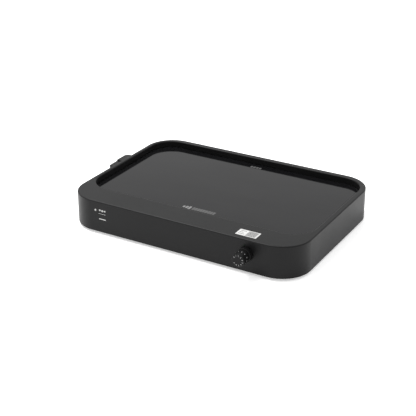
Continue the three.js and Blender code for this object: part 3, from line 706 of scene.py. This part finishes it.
def inlet_cutters(face, sleeve_end):
    """The socket, its flared mouth, the slots for its pins and the holes for its screws."""
    socket_end = sleeve_end - SOCKET_FLOOR
    start = face - 2 * PAST
    place = at(start, SOCKET_Y, SOCKET_Z) @ FACING_RIGHT
    flare = 0.003
    flare_depth = 0.0006
    socket = rounded_rectangle(SOCKET_HEIGHT, SOCKET_WIDTH, SOCKET_ROUND)
    mouth = rounded_rectangle(SOCKET_HEIGHT + flare, SOCKET_WIDTH + flare, 1.5 * SOCKET_ROUND)
    cutters = [
        moved(prism(socket, 0.0, socket_end - start), place),
        moved(prism(mouth, 0.0, 2 * PAST + flare_depth), place),
    ]
    for name in INLET_PINS:
        low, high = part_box(name)
        cutters.append(box_mesh((socket_end - PAST, low.y - GAP, low.z - GAP),
                                (sleeve_end + PAST, high.y + GAP, high.z + GAP)))
    head_seat, outside = 0.007, 0.014
    head_bore, head_mouth = 0.0033, 0.0036
    for name in INLET_SCREWS:
        middle = middle_of(name)
        place = at(SHELL_LOW.x, middle.y, middle.z) @ FACING_LEFT
        cutters.append(moved(rod(SCREW_HOLE, -0.002, outside), place))
        cutters.append(moved(turned([(head_bore, head_seat), (head_mouth, outside)], 40), place))
    return cutters


def make_inlet():
    """The power inlet, with the sleeve of its socket inside the wall."""
    low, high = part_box("inlet_housing")
    piece = inlet_body()
    sleeve_start = low.x + 0.004
    height = SOCKET_HEIGHT + 2 * SOCKET_WALL
    width = SOCKET_WIDTH + 2 * SOCKET_WALL
    plan = rounded_rectangle(height, width, SOCKET_ROUND)
    sleeve = prism(plan, 0.0, high.x - sleeve_start)
    combine(piece, moved(sleeve, at(sleeve_start, SOCKET_Y, SOCKET_Z) @ FACING_RIGHT), "UNION")
    for cutter in inlet_cutters(low.x, high.x):
        combine(piece, cutter, "DIFFERENCE")
    finished(piece, HOUSING, "appliance", ["inlet_housing"])


# ---------------------------------------------------------------- the control

KNOB_REACH = FRONT_Y - KNOB_LOW.y
KNOB_REAR = FRONT_Y - KNOB_HIGH.y
KNOB_RADIUS = (KNOB_HIGH.x - KNOB_LOW.x) / 2
KNOB_WALL = 0.0017
HUB_RADIUS = 0.006
SHAFT_RADIUS = 0.003
SHAFT_END = 0.0214

# The dial: numerals on the knob's face and light dots round its side, in degrees from the right; the dots
# are a painted highlight standing for the glints of grip bumps
DIAL_MARKS = 10
DIAL_START = 146.0
DIAL_STEP = -31.7
NUMERAL_HEIGHT = 0.0021
NUMERAL_RADIUS = 0.0076
GLINT_DOT_REACH = 0.0152


def make_knob():
    """The knob: a hollow cap with a hub for the shaft."""
    edge = 0.0009
    rear_edge = 0.0004
    hub_rear = KNOB_REAR + 0.001
    inside = KNOB_REACH - 0.002
    profile = [
        (SHAFT_RADIUS + GAP, SHAFT_END),
        (SHAFT_RADIUS + GAP, hub_rear),
        (HUB_RADIUS, hub_rear),
        (HUB_RADIUS, inside),
        (KNOB_RADIUS - KNOB_WALL, inside),
        (KNOB_RADIUS - KNOB_WALL, KNOB_REAR),
        *arc(KNOB_RADIUS - rear_edge, KNOB_REAR + rear_edge, rear_edge, 270, 360, 3),
        *arc(KNOB_RADIUS - edge, KNOB_REACH - edge, edge, 0, 90),
    ]
    piece = object_of("knob_cap", moved(turned(profile, 96), KNOB_PLACE))
    finished(piece, KNOB_PLASTIC, "control", ["knob"])


def digit_mesh(digit, height):
    """A generic numeral as a thin flat mesh, centred on the origin, facing +Z."""
    text = bpy.data.curves.new("digit", "FONT")
    text.body = digit
    text.size = height / 0.7
    text.align_x = "CENTER"
    text.align_y = "CENTER"
    text.extrude = INK
    text.resolution_u = 3
    holder = bpy.data.objects.new("digit", text)
    bpy.context.scene.collection.objects.link(holder)
    bpy.context.view_layer.update()
    data = bpy.data.meshes.new_from_object(holder.evaluated_get(bpy.context.evaluated_depsgraph_get()))
    mesh = bmesh.new()
    mesh.from_mesh(data)
    bpy.data.meshes.remove(data)
    bpy.data.objects.remove(holder)
    bpy.data.curves.remove(text)
    return mesh


def make_dial_marks():
    """Numerals round the knob's face and, at each of them, a light dot on its side: a painted highlight
    standing for the glint of a grip bump.
    """
    outwards = Matrix.Rotation(math.radians(-90), 4, "X")
    numerals = []
    glint_dots = []
    for i in range(DIAL_MARKS):
        angle = math.radians(DIAL_START + DIAL_STEP * i)
        turn = Matrix.Rotation(angle - math.radians(90), 4, "Z")
        numeral = digit_mesh(str(i), NUMERAL_HEIGHT)
        numerals.append(moved(numeral, turn @ at(0, NUMERAL_RADIUS, KNOB_REACH + INK)))
        # A light dot of ink on the knob's side: a painted highlight standing for the glint of a grip bump
        glint_dot = prism(rounded_rectangle(0.0009, 0.0016, 0.0004, 4), -2 * INK, 2 * INK)
        glint_dots.append(moved(glint_dot, turn @ at(0, KNOB_RADIUS, GLINT_DOT_REACH) @ outwards))
    piece = object_of("dial_numerals", moved(gathered(numerals), KNOB_PLACE))
    finished(piece, DIAL_INK_AND_GLINTS, "control", soft=False)
    # The painted glint dots on the knob's side
    piece = object_of("knob_side_glints", moved(gathered(glint_dots), KNOB_PLACE))
    finished(piece, DIAL_INK_AND_GLINTS, "control", soft=False)


def make_collar():
    """The fixed ring behind the knob."""
    low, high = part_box("dial_collar")
    radius = (high.x - low.x) / 2
    reach = FRONT_Y - low.y
    rear = FRONT_Y - high.y
    bore = 0.005
    spigot = 0.0062
    edge = 0.0008
    rear_edge = 0.0003
    profile = [
        (bore, rear),
        (spigot, rear),
        (spigot, GAP),
        *arc(radius - rear_edge, GAP + rear_edge, rear_edge, 270, 360, 3),
        *arc(radius - edge, reach - edge, edge, 0, 90),
        (bore, reach),
    ]
    piece = object_of("knob_collar", moved(turned_ring(profile, 96), KNOB_PLACE))
    finished(piece, KNOB_PLASTIC, "appliance", ["dial_collar"])


def make_lens():
    """The indicator's lens: a small plug with a domed face."""
    reach = FRONT_Y - LENS_LOW.y
    rear = FRONT_Y - LENS_HIGH.y
    edge = 0.0004
    profile = [
        (LENS_RADIUS, rear),
        (LENS_RADIUS, 0.0),
        *arc(LENS_RADIUS - edge, 0.0, edge, 0, 60, 4)[1:],
        (0.4 * LENS_RADIUS, reach),
    ]
    piece = object_of("lens_plug", moved(turned(profile, 40), LENS_PLACE))
    finished(piece, LENS, "appliance", ["indicator_lens"])


# ---------------------------------------------------------------- printed marks and the sticker

def flat_mark(name, shapes, z, thickness, material):
    """Thin printed shapes lying on a level face."""
    piece = object_of(name, gathered([prism(points, z, z + thickness) for points in shapes]))
    finished(piece, material, "appliance", soft=False)


def make_sticker():
    """A plain white sticker on the front deck, with short grey rules and a field of grey rows."""
    x0, x1 = SHELL_MID.x + 0.1010, SHELL_MID.x + 0.1362
    y0, y1 = SHELL_MID.y - 0.1402, SHELL_MID.y - 0.1212
    paper_bottom = SHELL_TOP - 2 * INK
    paper_thickness = 3 * INK
    paper = rounded_rectangle(x1 - x0, y1 - y0, 0.001, 6, (x0 + x1) / 2, (y0 + y1) / 2)
    flat_mark("sticker", [paper], paper_bottom, paper_thickness, STICKER_PAPER)
    rules = []
    for row, width in enumerate((0.010, 0.007, 0.011)):
        x = x0 + 0.0025 + width / 2
        y = y1 - 0.0040 - row * 0.0050
        rules.append(rounded_rectangle(width, 0.0012, 0.0004, 2, x, y))
    for row in range(6):
        x = x1 - 0.0108
        y = y1 - 0.0027 - row * 0.0027
        rules.append(rounded_rectangle(0.0165, 0.0017, 0.0003, 2, x, y))
    rules_bottom = paper_bottom + paper_thickness - LIFT
    flat_mark("sticker_rules", rules, rules_bottom, INK, STICKER_GREY)


def dash_row(count, x, pitch, y, width, depth):
    """A row of equal dashes, placed from the shell's middle."""
    middles = [(SHELL_MID.x + x + i * pitch, SHELL_MID.y + y) for i in range(count)]
    return [rounded_rectangle(width, depth, 0.0008, 3, *middle) for middle in middles]


def make_glass_marks():
    """Printed marks on the glass: dashes near the front, three of them light, and dashes at the back."""
    z = GLASS_HIGH.z + LIFT
    light = []
    for x, width, depth in (
        (-0.0272, 0.0040, 0.0060),
        (-0.0218, 0.0040, 0.0080),
        (-0.0165, 0.0042, 0.0105),
    ):
        light.append(rounded_rectangle(width, depth, 0.0010, 3, SHELL_MID.x + x, SHELL_MID.y - 0.0766))
    flat_mark("front_dashes_light", light, z, INK, DASH_INK)
    front = dash_row(9, -0.0095, 0.0047, -0.0765, 0.0042, 0.0090)
    flat_mark("front_dashes", front, z, INK, GREY_INK)
    rear = dash_row(4, -0.0100, 0.0055, 0.1240, 0.0042, 0.0062)
    flat_mark("rear_dashes", rear, z, INK, GREY_INK)


def make_front_marks():
    """A dot and plain bars printed on the left of the front face."""
    bars = []
    for x, z, width, height in (
        (-0.1503, 0.0383, 0.0034, 0.0034),
        (-0.1416, 0.0394, 0.0038, 0.0026),
        (-0.1368, 0.0390, 0.0038, 0.0032),
        (-0.1322, 0.0392, 0.0034, 0.0026),
        (-0.1376, 0.0333, 0.0138, 0.0006),
        (-0.1372, 0.0240, 0.0134, 0.0016),
    ):
        plan = rounded_rectangle(width, height, height * 0.45, 4, x, z)
        bars.append(moved(prism(plan, LIFT, 5 * LIFT), FRONT_PLACE))
    piece = object_of("front_bars", gathered(bars))
    finished(piece, WHITE_INK, "appliance", soft=False)


# ---------------------------------------------------------------- the inner CAD pieces

INNER_MATERIALS = {
    "steel": PLATED_STEEL,
    "aluminium": ALUMINIUM,
    "heating_alloy": RIBBON_ALLOY,
    "moulded_case": CREAM_CASE,
    "brass": BRASS,
    "copper": COPPER,
    "lens": LENS,
    "wire_cover": WIRE_COVER,
}


def dress_inner_pieces():
    """Gives every CAD node that stays in view a material of its own slot."""
    slots = {part["node"]: part["material_slot"] for part in frame["record"]["subparts"]}
    for name, node in frame["nodes"].items():
        if node.hide_render:
            continue
        material = INNER_MATERIALS.get(slots[name])
        if slots[name] == "insulation":
            material = BLANKET if name == "insulation_blanket" else MICA
        node.data.materials.clear()
        node.data.materials.append(material)


# ---------------------------------------------------------------- floor, light and camera

def make_camera():
    camera = bpy.data.objects.new("camera", bpy.data.cameras.new("camera"))
    bpy.context.scene.collection.objects.link(camera)
    camera.data.lens = CAMERA_LENS
    camera.data.sensor_width = 36.0
    camera.data.clip_end = 50.0
    foot = Vector((SHELL_MID.x, SHELL_MID.y, SHELL_BOTTOM))
    camera.location = foot + CAMERA_OFFSET
    camera.rotation_euler = (math.radians(90 - CAMERA_ELEVATION), 0.0, math.radians(CAMERA_AZIMUTH))
    bpy.context.scene.camera = camera


def make_floor():
    """A plain white floor that glows a little, as a light table does."""
    size = 8.0
    mesh = bmesh.new()
    bmesh.ops.create_grid(mesh, x_segments=2, y_segments=2, size=size)
    floor = object_of("floor", mesh)
    white = (0.9, 0.9, 0.9)
    material, nodes, links, shader = new_material("floor_white", white, 0.9, Specular_IOR_Level=0.0)
    mottle = noise(nodes, links, 3.0)
    vary_color(nodes, links, shader, mottle.outputs["Fac"], (0.89, 0.89, 0.89), (0.91, 0.91, 0.91))
    shader.inputs["Emission Color"].default_value = (1, 1, 1, 1)
    shader.inputs["Emission Strength"].default_value = 0.4
    floor.data.materials.append(material)


def make_world():
    """A bright, plain studio all round."""
    world = bpy.data.worlds.new("studio")
    bpy.context.scene.world = world
    world.use_nodes = True
    background = world.node_tree.nodes["Background"]
    background.inputs["Color"].default_value = (1, 1, 1, 1)
    background.inputs["Strength"].default_value = 1.08


def add_softbox(name, place, target, width, height, power):
    light = bpy.data.lights.new(name, "AREA")
    light.shape = "RECTANGLE"
    light.size = width
    light.size_y = height
    light.energy = power
    lamp = bpy.data.objects.new(name, light)
    bpy.context.scene.collection.objects.link(lamp)
    lamp.location = place
    lamp.rotation_euler = (Vector(target) - Vector(place)).to_track_quat("-Z", "Y").to_euler()


make_camera()
make_world()
make_floor()
add_softbox("top_softbox", (-1.1, 0.0, 2.2), (0, 0, 0), 0.55, 0.8, 50.0)
bpy.context.scene.view_settings.view_transform = "Standard"

make_housing()
make_glass()
make_seal()
make_base_cover()
make_feet()
make_screws()
make_inlet()
make_knob()
make_dial_marks()
make_collar()
make_lens()
make_sticker()
make_glass_marks()
make_front_marks()
dress_inner_pieces()
